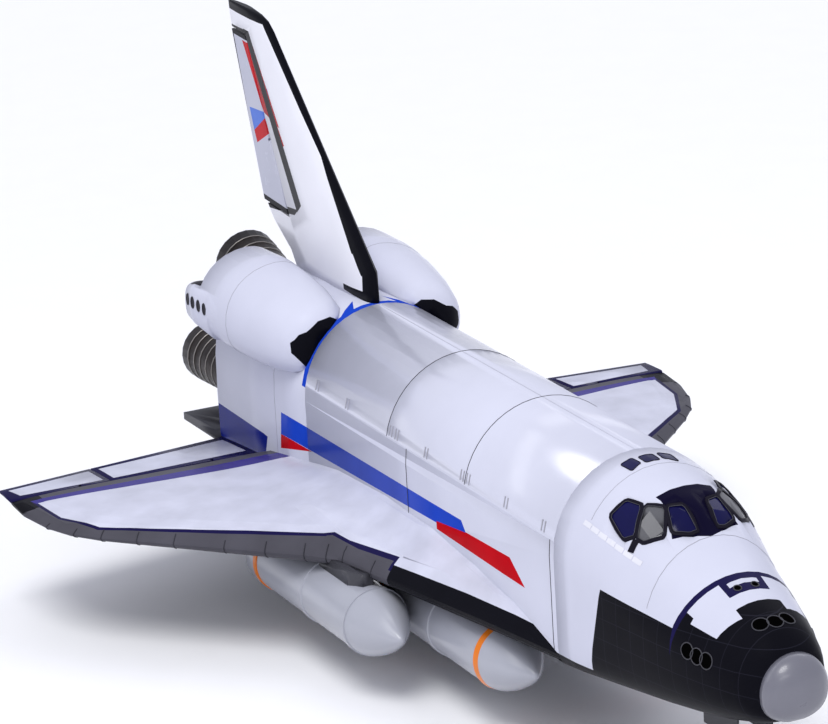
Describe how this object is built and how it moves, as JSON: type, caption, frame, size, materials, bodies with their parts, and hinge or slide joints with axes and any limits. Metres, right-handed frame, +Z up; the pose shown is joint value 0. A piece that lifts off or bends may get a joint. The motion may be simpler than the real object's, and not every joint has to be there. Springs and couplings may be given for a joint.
{
  "type": "space shuttle",
  "caption": "Winged space shuttle orbiter on its landing gear, with opening payload bay doors, moving control surfaces, engine nozzles and strap-on boosters.",
  "frame": {"origin": "on the floor, in the plane of symmetry, half way between the nose tip and the lip of the top engine", "axes": "+Z up, nose towards -Y, starboard towards -X, port towards +X"},
  "size_m": [23, 37.2088, 17.18],
  "materials": {
    "white_tile": "glossy white with a faint lavender tint",
    "black_tile": "satin black",
    "nose_carbon": "satin grey",
    "edge_carbon": "satin grey",
    "window_glass": "dark navy, glossy and opaque",
    "nozzle_metal": "dark bronze black, satin",
    "strut_metal": "satin",
    "tyre": "matt black rubber"
  },
  "bodies": {
    "orbiter": {"nose_cap": "nose_carbon", "forward_fuselage": "white_tile", "window_front_right": "window_glass", "window_front_left": "window_glass", "window_middle_right": "window_glass", "window_middle_left": "window_glass", "window_side_right": "window_glass", "window_side_left": "window_glass", "mid_fuselage": "white_tile", "aft_fuselage": "white_tile", "wing_right": "white_tile", "wing_left": "white_tile", "leading_edge_right": "edge_carbon", "leading_edge_left": "edge_carbon", "fin": "white_tile", "rear_pod_right": "white_tile", "rear_pod_left": "white_tile", "pod_nozzle_right": "nozzle_metal", "pod_nozzle_left": "nozzle_metal", "main_engine_top": "nozzle_metal", "main_engine_right": "nozzle_metal", "main_engine_left": "nozzle_metal", "booster_inboard_right": "white_tile", "booster_inboard_left": "white_tile", "booster_outboard_right": "white_tile", "booster_outboard_left": "white_tile", "pylon_inboard_right": "black_tile", "pylon_inboard_left": "black_tile", "pylon_outboard_right": "black_tile", "pylon_outboard_left": "black_tile", "nose_gear_leg": "strut_metal", "main_gear_leg_right": "strut_metal", "main_gear_leg_left": "strut_metal", "nose_gear_door_right": "black_tile", "nose_gear_door_left": "black_tile", "main_gear_door_right": "black_tile", "main_gear_door_left": "black_tile"},
    "starboard_bay_door": {"bay_door_right": "white_tile"},
    "port_bay_door": {"bay_door_left": "white_tile"},
    "starboard_inner_elevon": {"inboard_elevon_right": "white_tile"},
    "port_inner_elevon": {"inboard_elevon_left": "white_tile"},
    "starboard_outer_elevon": {"outboard_elevon_right": "white_tile"},
    "port_outer_elevon": {"outboard_elevon_left": "white_tile"},
    "tail_rudder": {"rudder": "white_tile"},
    "rear_flap": {"body_flap": "black_tile"},
    "nose_gear_steering": {"nose_gear_fork": "strut_metal"},
    "nose_wheel_pair": {"nose_axle": "strut_metal", "nose_tyre_right": "tyre", "nose_tyre_left": "tyre"},
    "starboard_wheel_pair": {"main_right_axle": "strut_metal", "main_right_tyre_inner": "tyre", "main_right_tyre_outer": "tyre"},
    "port_wheel_pair": {"main_left_axle": "strut_metal", "main_left_tyre_inner": "tyre", "main_left_tyre_outer": "tyre"}
  },
  "joints": [
    {"name": "starboard_bay_door_hinge", "type": "hinge", "parent": "orbiter", "child": "starboard_bay_door", "pos_m": [-2.67115, -0.81, 7.21], "axis": [0, -1, 0], "range_deg": [0, 175.5]},
    {"name": "port_bay_door_hinge", "type": "hinge", "parent": "orbiter", "child": "port_bay_door", "pos_m": [2.67115, -0.81, 7.21], "axis": [0, 1, 0], "range_deg": [0, 175.5]},
    {"name": "starboard_inner_elevon_hinge", "type": "hinge", "parent": "orbiter", "child": "starboard_inner_elevon", "pos_m": [-5.645, 10.895, 4.05443], "axis": [0.9997, 0, -0.0244], "range_deg": [-18, 33.5]},
    {"name": "port_inner_elevon_hinge", "type": "hinge", "parent": "orbiter", "child": "port_inner_elevon", "pos_m": [5.645, 10.895, 4.05443], "axis": [0.9997, 0, 0.0244], "range_deg": [-18, 33.5]},
    {"name": "starboard_outer_elevon_hinge", "type": "hinge", "parent": "orbiter", "child": "starboard_outer_elevon", "pos_m": [-9.825, 10.895, 4.15661], "axis": [0.9997, 0, -0.0244], "range_deg": [-18, 33.5]},
    {"name": "port_outer_elevon_hinge", "type": "hinge", "parent": "orbiter", "child": "port_outer_elevon", "pos_m": [9.825, 10.895, 4.15661], "axis": [0.9997, 0, 0.0244], "range_deg": [-18, 33.5]},
    {"name": "rudder_hinge", "type": "hinge", "parent": "orbiter", "child": "tail_rudder", "pos_m": [0, 15.44188, 13.53], "axis": [0, 0.4647, 0.8855], "range_deg": [-27, 27]},
    {"name": "body_flap_hinge", "type": "hinge", "parent": "orbiter", "child": "rear_flap", "pos_m": [0, 14.415, 3.83], "axis": [1, 0, 0], "range_deg": [-22.5, 11.7]},
    {"name": "nose_gear_steer", "type": "hinge", "parent": "orbiter", "child": "nose_gear_steering", "pos_m": [0, -14.305, 1.25], "axis": [0, 0, 1], "range_deg": [-10, 10]},
    {"name": "nose_wheel_spin", "type": "hinge", "parent": "nose_gear_steering", "child": "nose_wheel_pair", "pos_m": [0, -14.305, 0.41], "axis": [1, 0, 0], "continuous": true},
    {"name": "starboard_wheel_spin", "type": "hinge", "parent": "orbiter", "child": "starboard_wheel_pair", "pos_m": [-2.8, 5.195, 0.565], "axis": [1, 0, 0], "continuous": true},
    {"name": "port_wheel_spin", "type": "hinge", "parent": "orbiter", "child": "port_wheel_pair", "pos_m": [2.8, 5.195, 0.565], "axis": [1, 0, 0], "continuous": true}
  ]
}
